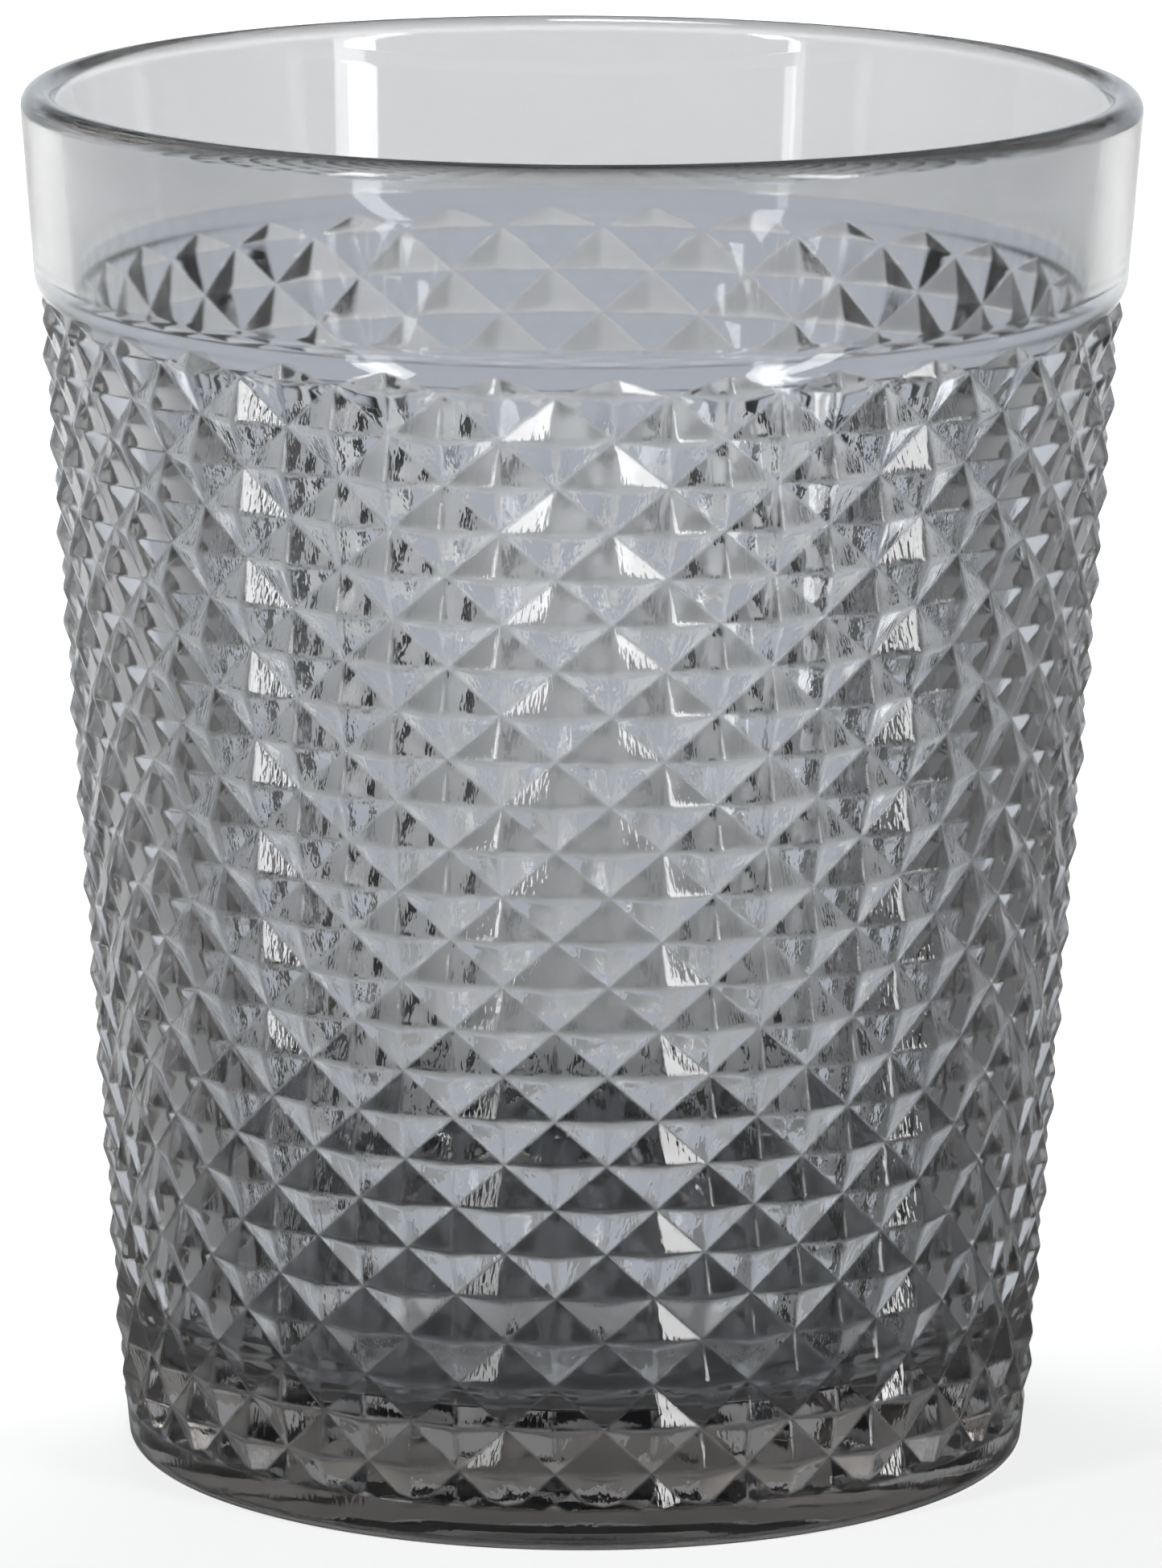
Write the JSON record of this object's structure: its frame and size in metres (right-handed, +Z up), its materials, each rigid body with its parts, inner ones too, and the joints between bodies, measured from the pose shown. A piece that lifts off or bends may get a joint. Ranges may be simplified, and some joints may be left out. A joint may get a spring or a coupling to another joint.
{
  "type": "whiskey tumbler",
  "caption": "Tapered drinking tumbler of pressed smoky glass: rounded lip, plain band, all-over diamond-point wall, thick base and plain foot.",
  "frame": {"origin": "on the axis of the glass, on the plane that the foot ring rests on", "axes": "+Z up along the axis, towards the lip; -Y towards the side that the picture shows"},
  "size_m": [0.0824, 0.0824, 0.102],
  "materials": {
    "smoked_glass": "fire-polished pressed glass, gloss"
  },
  "bodies": {
    "root": {"glass_body": "smoked_glass"}
  },
  "joints": []
}
